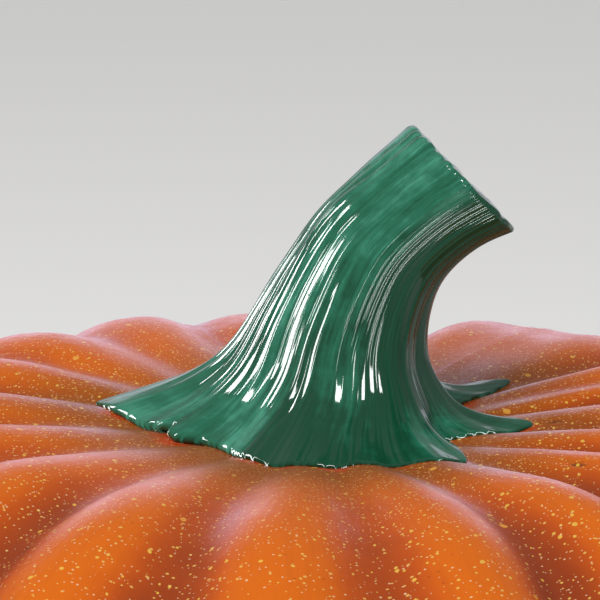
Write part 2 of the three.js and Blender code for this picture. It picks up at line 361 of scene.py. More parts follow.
class SkinTree(NodeTree):
    """The shader tree of a skin, with the shared groups at hand and the unrolled skin as its place."""

    def __init__(self, name: str, effects: Effects) -> None:
        """Start the skin's material.

        Args:
            name: The material's name.
            effects: The shared shader groups.
        """
        self.material = bpy.data.materials.new(name)
        self.material.use_nodes = True
        super().__init__(self.material.node_tree)
        self.effects = effects
        self.place = self.attribute(PLACE, "Vector")

    def solid(self) -> Socket:
        """Read the place in the piece itself."""
        return self.add("TexCoord").outputs["Object"]

    def specks(self, vector: Socket, spacing: float, radius: float, share: object) -> tuple[Socket, Socket]:
        """Scatter specks and give the mask of the specks and that of their middles."""
        inputs = {"Vector": vector, "Spacing": spacing, "Radius": radius, "Share": share}
        return tuple(self.add("Group", inputs, node_tree=self.effects.specks).outputs)

    def streaks(self, size: Pair) -> Socket:
        """Draw streaks of a width and a length along the unrolled skin."""
        inputs = {"Vector": self.place, "Width": size[0], "Length": size[1]}
        return self.add("Group", inputs, node_tree=self.effects.streaks).outputs["Streak"]

    def grain(self, vector: Socket, size: Pair, depth: float) -> Socket:
        """Give the height of a grain of two sizes, the coarse one first."""
        inputs = {"Vector": vector, "Coarse": size[0], "Fine": size[1], "Depth": depth}
        return self.add("Group", inputs, node_tree=self.effects.grain).outputs["Height"]

    def close(self, height: Socket, inputs: dict) -> bpy.types.Material:
        """Join the colour and the relief in the skin's shader.

        Args:
            height: The height of the relief, in metres.
            inputs: The shader's other inputs.

        Returns:
            The finished material.
        """
        bump = self.add("Bump", {"Height": height, "Strength": 1.0, "Distance": 1.0})
        shader = self.add("BsdfPrincipled", {**inputs, "Normal": bump.outputs[0]})
        self.add("OutputMaterial", {"Surface": shader.outputs[0]})
        return self.material


@dataclass(frozen=True)
class SpeckSize:
    """One size of speck.

    spacing is the space between two specks, radius the largest radius, share how many places hold
    one, and strength how well its paint covers the skin.
    """

    spacing: float
    radius: float
    share: float
    strength: float
    paint: str


@dataclass(frozen=True)
class RindFinish:
    """Satin orange skin, red-brown in the valleys, with small yellow specks.

    The specks are listed from coarse to fine. The coarse sizes are laid out in solid space, the
    fine ones on the unrolled skin, where they crowd towards the stem. The red-brown of the valleys
    is partly the skin's own colour and partly painted shade, the red-orange just under the edge of
    the stem's foot is painted shade, and the skin grows browner towards that foot.
    """

    crest: str = "d2650f"
    flank: str = "bf5213"
    valley: str = "8f3a16"
    by_stem: str = "7d4512"
    # Painted shade: a saturated red-orange just under the edge of the stem's foot
    under_foot_shade: str = "c23a0a"
    crack: str = "4a1a0e"
    roughness: float = 0.45
    wet_roughness: float = 0.12
    refraction: float = 1.3
    sheen: float = 0.05
    sheen_roughness: float = 0.4
    sheen_tint: str = "f0e6ff"
    wear_scale: float = 90.0
    wear_span: Pair = (0.25, 0.75)
    wear_change: Pair = (-0.05, 0.06)
    wet_span: Pair = (0.001, 0.0035)
    mottle_scale: float = 60.0
    mottle_amount: float = 0.45
    flank_span: Pair = (0.05, 0.45)
    valley_span: Pair = (0.25, 0.85)
    cloud_scale: float = 17.0
    cloud_span: Pair = (0.5, 0.8)
    cloud_amount: float = 0.35
    streak_size: Pair = (0.0014, 0.012)
    streak_span: Pair = (0.4, 0.8)
    streak_amount: float = 0.12
    by_stem_span: Pair = (0.002, 0.045)
    by_stem_amount: float = 0.75
    foot_shade_scale: float = 42.0
    foot_shade_level: float = 0.42
    foot_shade_shift: float = 0.022
    foot_shade_span: Pair = (0.0, 0.007)
    foot_shade_amount: float = 0.8
    crack_span: Pair = (0.35, 0.9)
    crack_amount: float = 0.85
    wrinkle_depth: float = 0.00013
    grain_size: Pair = (0.0035, 0.0009)
    grain_depth: float = 0.00014
    fleck_spacing: float = 0.0016
    fleck_radius: float = 0.0004
    fleck_strength: float = 0.45
    fleck_span: Pair = (0.01, 0.07)
    fleck_shares: Pair = (0.6, 0.15)
    speck_span: Pair = (0.006, 0.06)
    speck_height: float = 0.00002
    middle_fade: float = 0.5
    coarse_sizes: int = 3
    specks: tuple[SpeckSize, ...] = (
        SpeckSize(0.007, 0.0012, 0.4, 0.8, "e3a23e"),
        SpeckSize(0.0036, 0.00072, 0.65, 0.9, "dfb248"),
        SpeckSize(0.0022, 0.0005, 0.7, 0.9, "dcb04e"),
        SpeckSize(0.0014, 0.0004, 0.6, 0.8, "e0b45e"),
        SpeckSize(0.001, 0.00028, 0.55, 0.7, "e6c79a"),
    )

    def skin(self, tree: SkinTree, streak: Socket) -> Socket:
        """Mix the colours of the skin under its flecks and specks.

        Args:
            tree: The material's tree.
            streak: Fine streaks that run out from the stem.

        Returns:
            The colour.
        """
        foot = tree.attribute(FOOT_DISTANCE)
        mottle = tree.noise(tree.place, self.mottle_scale, 3.0)
        shift = tree.times(tree.minus(mottle, 0.5), self.mottle_amount)
        uneven = tree.plus(tree.attribute(VALLEY_COLOUR_AND_SHADE), shift)
        cloud = tree.noise(tree.place, self.cloud_scale, 2.0)
        # An uneven edge for the painted shade just under the edge of the stem's foot
        foot_shade_patch = tree.noise(tree.place, self.foot_shade_scale, 2.0)
        edge = tree.plus(foot, tree.times(tree.minus(foot_shade_patch, self.foot_shade_level), self.foot_shade_shift))
        layers = (
            # The flank and valley colours follow the valley mask: partly the skin's own red-brown, partly
            # painted shade
            (tree.spread(uneven, *self.flank_span), self.flank),
            (tree.spread(uneven, *self.valley_span), self.valley),
            (tree.spread(cloud, *self.cloud_span, 0.0, self.cloud_amount), self.flank),
            (tree.spread(streak, *self.streak_span, 0.0, self.streak_amount), self.valley),
            # Browner towards the stem's foot
            (tree.spread(foot, *self.by_stem_span, self.by_stem_amount, 0.0), self.by_stem),
            # Painted shade, saturated red-orange, just under the edge of the stem's foot
            (tree.spread(edge, *self.foot_shade_span, self.foot_shade_amount, 0.0), self.under_foot_shade),
            (tree.spread(tree.attribute(CRACK), *self.crack_span, 0.0, self.crack_amount), self.crack),
        )
        skin = colour(self.crest)
        for share, paint in layers:
            skin = tree.mix(share, skin, colour(paint))
        return skin

    def specked(self, tree: SkinTree, skin: Socket) -> tuple[Socket, Socket]:
        """Scatter the dark flecks and then the yellow specks over the skin.

        Args:
            tree: The material's tree.
            skin: The colour of the skin.

        Returns:
            The colour with its specks, and how far they stand out in metres.
        """
        foot = tree.attribute(FOOT_DISTANCE)
        solid = tree.solid()
        share = tree.spread(foot, *self.fleck_span, *self.fleck_shares)
        mask, _ = tree.specks(tree.place, self.fleck_spacing, self.fleck_radius, share)
        skin = tree.mix(tree.times(mask, self.fleck_strength), skin, colour(self.valley))
        raised = 0.0
        for order, size in enumerate(self.specks):
            vector, share = solid, size.share
            if order >= self.coarse_sizes:
                vector, share = tree.place, tree.spread(foot, *self.speck_span, 1.0, size.share)
            mask, middle = tree.specks(vector, size.spacing, size.radius, share)
            raised = tree.plus(raised, tree.times(mask, self.speck_height))
            shown = tree.times(tree.minus(mask, tree.times(middle, self.middle_fade)), size.strength)
            skin = tree.mix(shown, skin, colour(size.paint))
        return skin, raised

    def material(self, effects: Effects) -> bpy.types.Material:
        """Make the rind's material.

        Args:
            effects: The shared shader groups.

        Returns:
            The material.
        """
        tree = SkinTree("rind_satin_orange", effects)
        streak = tree.streaks(self.streak_size)
        skin, raised = self.specked(tree, self.skin(tree, streak))
        grain = tree.grain(tree.solid(), self.grain_size, self.grain_depth)
        height = tree.plus(tree.plus(grain, tree.times(streak, self.wrinkle_depth)), raised)
        wear = tree.noise(tree.place, self.wear_scale, 3.0)
        smooth, rough = (self.roughness + change for change in self.wear_change)
        worn = tree.spread(wear, *self.wear_span, smooth, rough)
        wet = tree.spread(tree.attribute(FOOT_DISTANCE), *self.wet_span, 1.0, 0.0)
        return tree.close(height, {
            "Base Color": skin,
            "Roughness": tree.minus(worn, tree.times(wet, self.roughness - self.wet_roughness)),
            "IOR": self.refraction,
            "Sheen Weight": self.sheen,
            "Sheen Roughness": self.sheen_roughness,
            "Sheen Tint": colour(self.sheen_tint),
        })


@dataclass(frozen=True)
class StemFinish:
    """Glossy deep green skin with fine lengthwise streaks.

    around is the stem's radius. Each of the three sides that follow is given by its azimuth, how far
    either side of it the tone fades out, and how far the tone moves: painted shade on the front of the
    foot, painted light on the left of the foot and painted shade on the right of the neck.
    The spans that end in up are shares of the stem's height.
    """

    dark: str = "12462f"
    middle: str = "23694f"
    light: str = "4c9a81"
    roughness: float = 0.06
    refraction: float = 1.42
    around: float = 0.0166
    front_foot_shade: Triple = (0, 36, -0.16)
    pale: Triple = (-58, 42, 0.1)
    shade: Triple = (78, 92, -0.3)
    foot_up: Pair = (0.12, 0.42)
    neck_up: Pair = (0.1, 0.5)
    pimples_up: Pair = (0.35, 0.8)
    blotch_scale: float = 260.0
    broad_share: float = 0.5
    fine_share: float = 0.3
    blotch_share: float = 0.2
    height_share: float = 0.08
    middle_span: Pair = (0.4, 0.58)
    light_span: Pair = (0.54, 0.72)
    light_amount: float = 0.9
    groove_span: Pair = (0.3, 1.0)
    groove_shade: float = 0.5
    broad_streak: Pair = (0.0045, 0.05)
    fine_streak: Pair = (0.0009, 0.012)
    streak_depth: float = 0.00006
    grain_size: Pair = (0.006, 0.0012)
    grain_depth: float = 0.000015
    pimple_spacing: float = 0.0035
    pimple_radius: float = 0.0004
    pimple_share: float = 0.25
    pimple_height: float = 0.0002

    def moved(self, tree: SkinTree, side: Triple) -> Socket:
        """Give how far the tone moves on one side of the stem, lighter for painted light, darker for painted
        shade.

        Args:
            tree: The material's tree.
            side: The side's azimuth, how far either side of it the tone fades out, and how far it moves.

        Returns:
            The move, full on that side and 0 away from it.
        """
        azimuth, width, amount = side
        turn = math.radians(azimuth)
        inputs = {0: tree.place, 1: (math.sin(turn), -math.cos(turn), 0)}
        towards = tree.add("VectorMath", inputs, operation="DOT_PRODUCT").outputs["Value"]
        fading = self.around * math.cos(math.radians(width))
        return tree.times(tree.spread(towards, fading, self.around), amount)

    def skin(self, tree: SkinTree, broad: Socket, fine: Socket) -> Socket:
        """Mix the greens of the skin, with painted shade in its grooves, on the front of the foot and on the
        right, and painted light on the left of the foot.

        Args:
            tree: The material's tree.
            broad: Broad lengthwise streaks.
            fine: Fine lengthwise streaks.

        Returns:
            The colour.
        """
        height = tree.attribute(HEIGHT_SHARE)
        foot = tree.spread(height, *self.foot_up, 1.0, 0.0)
        neck = tree.spread(height, *self.neck_up)
        blotch = tree.noise(tree.place, self.blotch_scale, 3.0)
        tone = tree.times(broad, self.broad_share)
        for part, share in (
            (fine, self.fine_share),
            (blotch, self.blotch_share),
            (height, self.height_share),
            # Painted shade on the front of the foot and on the right of the neck, painted light on the left
            # of the foot
            (foot, self.moved(tree, self.front_foot_shade)),
            (foot, self.moved(tree, self.pale)),
            (neck, self.moved(tree, self.shade)),
        ):
            tone = tree.plus(tone, tree.times(part, share))
        skin = tree.mix(tree.spread(tone, *self.middle_span), colour(self.dark), colour(self.middle))
        skin = tree.mix(tree.spread(tone, *self.light_span, 0.0, self.light_amount), skin, colour(self.light))
        # Painted shade deep in the flutes' grooves, and a darker green on the cut end
        groove = tree.spread(tree.attribute(GROOVE), *self.groove_span, 0.0, self.groove_shade)
        return tree.mix(groove, skin, colour(self.dark))

    def material(self, effects: Effects) -> bpy.types.Material:
        """Make the stem's material, with pimples on its upper part.

        Args:
            effects: The shared shader groups.

        Returns:
            The material.
        """
        tree = SkinTree("stem_gloss_green", effects)
        broad, fine = tree.streaks(self.broad_streak), tree.streaks(self.fine_streak)
        grain = tree.grain(tree.place, self.grain_size, self.grain_depth)
        pimples, _ = tree.specks(tree.place, self.pimple_spacing, self.pimple_radius, self.pimple_share)
        upper = tree.spread(tree.attribute(HEIGHT_SHARE), *self.pimples_up)
        raised = tree.times(tree.times(pimples, upper), self.pimple_height)
        height = tree.plus(tree.plus(grain, tree.times(broad, self.streak_depth)), raised)
        return tree.close(height, {
            "Base Color": self.skin(tree, broad, fine),
            "Roughness": self.roughness,
            "IOR": self.refraction,
        })


def deselect_all() -> None:
    """Leave nothing selected, in object mode."""
    if bpy.context.mode != "OBJECT":
        bpy.ops.object.mode_set(mode="OBJECT")
    bpy.ops.object.select_all(action="DESELECT")


def write_points(piece: Object, points: Array) -> None:
    """Move the vertices of a piece to new points."""
    piece.data.vertices.foreach_set("co", points.astype(np.float32).ravel())
    piece.data.update()


def read_points(piece: Object) -> Array:
    """Read where the vertices of a piece are.

    Args:
        piece: The piece, in object mode.

    Returns:
        The points.
    """
    points = np.zeros(len(piece.data.vertices) * 3, np.float32)
    piece.data.vertices.foreach_get("co", points)
    return points.reshape(-1, 3).astype(float)


def store(piece: Object, name: str, values: Array) -> None:
    """Store a value or a vector for each vertex, for the materials to read.

    Args:
        piece: The piece, in object mode.
        name: The attribute's name.
        values: A value or three parts of a vector for each vertex.
    """
    kind, field = ("FLOAT_VECTOR", "vector") if values.ndim == 2 else ("FLOAT", "value")
    attribute = piece.data.attributes.new(name, kind, "POINT")
    attribute.data.foreach_set(field, values.astype(np.float32).ravel())


def smooth_shading(piece: Object) -> None:
    """Shade a piece smoothly all over.

    Args:
        piece: The piece.
    """
    deselect_all()
    piece.select_set(True)
    bpy.context.view_layer.objects.active = piece
    bpy.ops.object.shade_smooth()


def select_only(piece: Object, kind: str, wanted: Array) -> None:
    """Select some edges or faces of a piece, and nothing else.

    Args:
        piece: The piece, in object mode.
        kind: "EDGE" or "FACE".
        wanted: Whether each edge or face is selected.
    """
    mesh = piece.data
    for items in (mesh.vertices, mesh.edges, mesh.polygons):
        items.foreach_set("select", np.zeros(len(items), bool))
    chosen = mesh.edges if kind == "EDGE" else mesh.polygons
    chosen.foreach_set("select", wanted)
    bpy.context.tool_settings.mesh_select_mode = (False, kind == "EDGE", kind == "FACE")


@dataclass(frozen=True)
class RingGrid:
    """Where each vertex of a closed tube belongs: its column, and its ring from the lower pole up."""

    column: Array
    ring: Array


def closed_tube(name: str, columns: int, side: int, low: int = 0, high: int = 0) -> tuple[Object, RingGrid]:
    """Model a plain closed tube whose rings are then moved to their places.

    Args:
        name: The piece's name.
        columns: How many columns it has round it.
        side: How many rings its side has.
        low: How many rings its lower end has inside its edge.
        high: How many rings its upper end has inside its edge.

    Returns:
        The tube, and where each of its vertices belongs.
    """
    deselect_all()
    bpy.ops.mesh.primitive_cylinder_add(vertices=columns, radius=1, depth=1, end_fill_type="NGON")
    piece = bpy.context.active_object
    piece.name = name
    heights = read_points(piece)[:, 2]
    ends = np.zeros(2 * len(piece.data.edges), int)
    piece.data.edges.foreach_get("vertices", ends)
    ends = heights[ends.reshape(-1, 2)]
    select_only(piece, "EDGE", np.abs(ends[:, 0] - ends[:, 1]) > 0.5)
    bpy.ops.object.mode_set(mode="EDIT")
    bpy.ops.mesh.subdivide(number_cuts=side - 2)
    bpy.ops.object.mode_set(mode="OBJECT")
    for level, insets in ((-0.5, low), (0.5, high)):
        middles = np.zeros(3 * len(piece.data.polygons))
        piece.data.polygons.foreach_get("center", middles)
        select_only(piece, "FACE", np.abs(middles[2::3] - level) < 1e-4)
        bpy.ops.object.mode_set(mode="EDIT")
        for _ in range(insets):
            bpy.ops.mesh.inset(thickness=INSET_STEP, use_even_offset=False)
        bpy.ops.mesh.poke()
        bpy.ops.object.mode_set(mode="OBJECT")
    points = read_points(piece)
    radius = np.hypot(points[:, 0], points[:, 1])
    turn = np.arctan2(points[:, 0], -points[:, 1]) / (2 * math.pi)
    column = np.round(turn * columns).astype(int) % columns
    inward = np.round((1 - radius) / INSET_STEP).astype(int)
    inward[radius < INSET_STEP / 2] = max(low, high) + 1
    upper = points[:, 2] > 0
    row = np.round((points[:, 2] + 0.5) * (side - 1)).astype(int) + low + 1
    top_ring = low + side + np.minimum(inward, high + 1)
    bottom_ring = low + 1 - np.minimum(inward, low + 1)
    end_ring = np.where(upper, top_ring, bottom_ring)
    return piece, RingGrid(column, np.where(inward < 1, row, end_ring))


@dataclass(frozen=True)
class Rib:
    """One rib of the fruit.

    valley is the azimuth of the valley on its left, share that valley's part of the full depth on
    top of the fruit, and sunk how far the rib's crest lies inside the crest line.
    """

    valley: float
    share: float
    sunk: float = 0.0


@dataclass(frozen=True)
class Crack:
    """A small healed crack along a rib: where its middle lies, and its size."""

    azimuth: float
    along: float
    length: float
    width: float
    depth: float


@dataclass
class Rind:
    """The ribbed fruit, one closed skin.

    Distances along run from the stem over the crest line to the underside. Each meander wave has
    its length, its turns round the fruit and its share. Each dent wave has the number of its random
    values round the fruit and along it, their seed and its share.
    """

    crest_line: tuple[Pair, ...] = (
        (0, 0.158), (0.022, 0.159), (0.045, 0.1615), (0.070, 0.165), (0.095, 0.1668), (0.118, 0.1625),
        (0.140, 0.150), (0.156, 0.130), (0.165, 0.106), (0.166, 0.080), (0.159, 0.052), (0.142, 0.028),
        (0.119, 0.0105), (0.095, 0.0022), (0.070, 0), (0.046, 0), (0.023, 0), (0, 0),
    )
    valley_depth: float = 0.014
    valley_rise: float = 0.092
    valley_rise_power: float = 2.7
    valley_fade: Pair = (0.290, 0.400)
    valley_round: float = 0.36
    valley_level: float = 0.9
    ribs: tuple[Rib, ...] = (
        Rib(-178, 1.0, 0.0015), Rib(-160, 0.5), Rib(-142, 0.45, -0.0002), Rib(-124, 0.6, -0.0004),
        Rib(-105, 0.8), Rib(-83, 0.8), Rib(-60, 0.85), Rib(-36.5, 0.95), Rib(-14, 0.85), Rib(7, 0.7),
        Rib(25, 0.9), Rib(44, 1.0), Rib(62, 1.0), Rib(79, 0.95), Rib(99, 0.95, 0.0005),
        Rib(110, 0.4, 0.0005), Rib(121, 0.8, 0.0006), Rib(145, 0.15, 0.0013), Rib(163, 0.85, 0.0015),
    )
    shares_even_out: float = 0.6
    shares_even_from: Pair = (0.105, 0.190)
    sink_in: Pair = (0, 0.080)
    sink_out: Pair = (0.300, 0.400)
    cracks: tuple[Crack, ...] = (
        Crack(49.5, 0.081, 0.011, 0.0011, 0.001), Crack(60.5, 0.104, 0.008, 0.001, 0.0008),
        Crack(84, 0.061, 0.009, 0.0008, 0.0007), Crack(81, 0.078, 0.008, 0.0009, 0.0008),
        Crack(-97, 0.098, 0.008, 0.001, 0.0008), Crack(112, 0.105, 0.010, 0.0012, 0.0009),
        Crack(-151, 0.112, 0.009, 0.0011, 0.0009), Crack(-35, 0.118, 0.007, 0.001, 0.0007),
    )
    crack_bow: float = 0.0006
    crack_bends: float = 3
    # Painted shade: the valleys grow darker round this azimuth, on the fruit's right, away from the key light
    shaded_side_azimuth: float = 85
    shaded_side_width: float = 38
    shaded_side_amount: float = 0.9
    shade_from: float = 0.05
    shade_full: float = 0.66
    meander: float = 0.54
    meander_from: Pair = (0.065, 0.110)
    meander_waves: tuple[Triple, ...] = ((0.021, 5, 1.0), (0.047, -3, 0.6))
    dent: float = 0.0007
    dent_waves: tuple[tuple[int, int, int, float], ...] = ((31, 9, 4, 1.0), (67, 17, 5, 0.5))
    dents_above: float = 0.0005
    unrolled_radius: float = 0.1
    near_stem: float = 0.3
    scar_radius: float = 0.009
    scar_depth: float = 0.0012
    columns_a_rib: int = 24
    rows: int = 199

    def __post_init__(self) -> None:
        """Draw the crest line."""
        self.crest = SmoothLine(self.crest_line)

    def across(self, azimuth: Array) -> tuple[Array, Array, Array]:
        """Find where azimuths lie on their ribs.

        Args:
            azimuth: Azimuths, in degrees.

        Returns:
            The place across the rib from -1 to 1, the valley's share there, and the crest's sink.
        """
        valleys = np.array([rib.valley for rib in self.ribs])
        shares = np.array([rib.share for rib in self.ribs])
        sunk = np.array([rib.sunk for rib in self.ribs])
        turned = np.mod(azimuth - valleys[0], 360) + valleys[0]
        index = np.searchsorted(valleys, turned, side="right") - 1
        start = valleys[index]
        end = np.append(valleys, valleys[0] + 360)[index + 1]
        place = 2 * (turned - start) / (end - start) - 1
        blend = smoothstep(-1, 1, place)
        share = shares[index] * (1 - blend) + np.append(shares, shares[0])[index + 1] * blend
        return place, share, sunk[index]

    def dip(self, azimuth: Array) -> Array:
        """Give how far down the valley's side azimuths lie, 0 on the crest.

        Args:
            azimuth: Azimuths, in degrees.

        Returns:
            The share of the valley's depth at each of them.
        """
        place = np.abs(self.across(azimuth)[0])
        past = np.maximum(place - (1 - self.valley_round), 0)
        return place**2 - self.valley_level * past**2 / self.valley_round

    def inset(self, azimuth: Array, along: Array) -> Array:
        """Give how far the skin lies inside the crest line.

        Args:
            azimuth: Azimuths, in degrees.
            along: Distances along the crest line.

        Returns:
            The inset at each of them.
        """
        _, share, sunk = self.across(azimuth)
        dip = self.dip(azimuth)
        rise = 1 - np.exp(-((along / self.valley_rise) ** self.valley_rise_power))
        depth = self.valley_depth * rise * (1 - smoothstep(*self.valley_fade, along))
        evened = share + (1 - share) * self.shares_even_out * smoothstep(*self.shares_even_from, along)
        sink = sunk * smoothstep(*self.sink_in, along) * (1 - smoothstep(*self.sink_out, along))
        return depth * dip * evened + sink * (1 - dip)

    def points(self, azimuth: Array, along: Array) -> Array:
        """Give points of the skin.

        Args:
            azimuth: Azimuths, in degrees.
            along: Distances along the crest line.

        Returns:
            The points.
        """
        crest = self.crest.at(along)
        tangent = self.crest.direction(along)
        inward = self.inset(azimuth, along)
        radius = np.maximum(crest[..., 0] + tangent[..., 1] * inward, 0)
        height = np.maximum(crest[..., 1] - tangent[..., 0] * inward, 0)
        angle = np.radians(azimuth)
        return np.stack([radius * np.sin(angle), -radius * np.cos(angle), height], axis=-1)

    def height(self, x: Array, y: Array) -> Array:
        """Give the height of the fruit's top, near the stem."""
        return self.points(np.degrees(np.arctan2(x, -y)), np.hypot(x, y))[..., 2]

    def crack_depths(self, azimuth: Array, along: Array) -> tuple[Array, Array]:
        """Give how deep the healed cracks are.

        Args:
            azimuth: Azimuths, in degrees.
            along: Distances along the crest line.

        Returns:
            The depth at each place, and how much of a crack it is, 0 to 1.
        """
        depth = np.zeros_like(along)
        mark = np.zeros_like(along)
        for crack in self.cracks:
            lengthwise = (along - crack.along) / (0.5 * crack.length)
            bow = self.crack_bow * np.sin(self.crack_bends * lengthwise)
            away = np.mod(azimuth - crack.azimuth + 180, 360) - 180
            across = (np.radians(away) * crack.along + bow) / crack.width
            shape = np.exp(-(across**2)) * np.clip(1 - lengthwise**2, 0, 1)
            depth += crack.depth * shape
            mark = np.maximum(mark, shape)
        return depth, mark

    def column_azimuths(self) -> Array:
        """Give the azimuth of each column of the mesh, from the first valley round.

        Returns:
            The azimuths, in degrees.
        """
        valleys = [rib.valley for rib in self.ribs] + [self.ribs[0].valley + 360]
        spans = []
        for start, end in zip(valleys, valleys[1:]):
            spans.append(np.linspace(start, end, self.columns_a_rib, endpoint=False))
        return np.concatenate(spans)

    def sway(self, azimuth: Array, along: Array) -> Array:
        """Give how many degrees the valleys stray from their azimuths.

        Args:
            azimuth: Azimuths, in degrees.
            along: Distances along the crest line.

        Returns:
            The turn of the skin at each place, in degrees.
        """
        turn = np.radians(azimuth)
        parts = [share * np.sin(along / length + turn * turns) for length, turns, share in self.meander_waves]
        return self.meander * sum(parts)

    def dents(self, azimuth: Array, along: Array) -> Array:
        """Give how far the small dents move the skin, outwards or inwards.

        Args:
            azimuth: Azimuths, in degrees.
            along: Distances along the crest line.

        Returns:
            The move at each place, outwards where it is positive.
        """
        place = along / self.crest.length
        parts = []
        for around, lengthwise, seed, share in self.dent_waves:
            parts.append(share * drawn_out_noise(azimuth, place, around, lengthwise, seed))
        return self.dent * sum(parts)

    def detailed_points(self, azimuth: Array, along: Array, crack_depth: Array) -> Array:
        """Give points of the skin with its straying valleys, small dents, cracks and scar below.

        Args:
            azimuth: Azimuths, in degrees.
            along: Distances along the crest line.
            crack_depth: How deep the healed cracks are.

        Returns:
            The points.
        """
        settled = smoothstep(*self.meander_from, along)
        points = self.points(azimuth, along)
        angle = np.radians(azimuth + settled * self.sway(azimuth, along))
        radius = np.hypot(points[:, 0], points[:, 1])
        points = np.stack([radius * np.sin(angle), -radius * np.cos(angle), points[:, 2]], axis=-1)

        outward = points - np.array([0, 0, 0.5 * self.crest_line[0][1]])
        outward /= np.linalg.norm(outward, axis=1, keepdims=True)
        free = settled * (points[:, 2] > self.dents_above)
        points += outward * (self.dents(azimuth, along) * free - crack_depth)[:, None]
        points[:, 2] = np.maximum(points[:, 2], 0)
        from_axis = np.hypot(points[:, 0], points[:, 1])
        scar = 1 - smoothstep(0.5 * self.scar_radius, self.scar_radius, from_axis)
        points[:, 2] += np.where(along > 0.5 * self.crest.length, scar * self.scar_depth, 0)
        return points

    def shade(self, azimuth: Array, along: Array) -> Array:
        """Give the valleys' red-brown, 0 to 1: partly own colour, partly painted shade, deepest on the right.

        Args:
            azimuth: Azimuths, in degrees.
            along: Distances along the crest line.

        Returns:
            The shade at each place.
        """
        # Painted shade: the valleys darken more round the fruit's right, away from the key light
        away = (azimuth - self.shaded_side_azimuth) / self.shaded_side_width
        side_shade = 1 + self.shaded_side_amount * np.exp(-(away**2))
        depth = self.inset(azimuth, np.maximum(along, self.shade_from)) / self.valley_depth
        return np.clip(side_shade * depth / self.shade_full, 0, 1)

    def build(self, stem: Stem, effects: Effects) -> Object:
        """Model and dress the fruit.

        Args:
            stem: The stem round whose foot the skin grows browner and takes painted shade under the edge.
            effects: The shared shader groups.

        Returns:
            The finished piece.
        """
        columns = self.columns_a_rib * len(self.ribs)
        piece, grid = closed_tube("rind", columns, self.rows)
        down = 1 - grid.ring / (self.rows + 1)
        along = down * self.crest.length
        azimuth = self.column_azimuths()[grid.column]

        crack_depth, crack_mark = self.crack_depths(azimuth, along)
        points = self.detailed_points(azimuth, along, crack_depth)
        write_points(piece, points)

        turn = np.radians(azimuth)
        unrolled = [self.unrolled_radius * np.sin(turn), -self.unrolled_radius * np.cos(turn), along]
        store(piece, PLACE, np.stack(unrolled, axis=-1))
        store(piece, VALLEY_COLOUR_AND_SHADE, self.shade(azimuth, along))
        store(piece, CRACK, crack_mark)
        past_foot = np.hypot(points[:, 0], points[:, 1]) - stem.reach(azimuth, stem.foot_rounding)
        distance = np.where(down < self.near_stem, past_foot, 1.0)
        store(piece, FOOT_DISTANCE, np.clip(distance, 0, 1))
        smooth_shading(piece)
        piece.data.materials.append(RindFinish().material(effects))
        return piece


@dataclass(frozen=True)
class FootPoint:
    """One corner of the foot's outline: its azimuth, its distance from the axis, and its lip's height."""

    azimuth: float
    reach: float
    lip: float = 0.0012


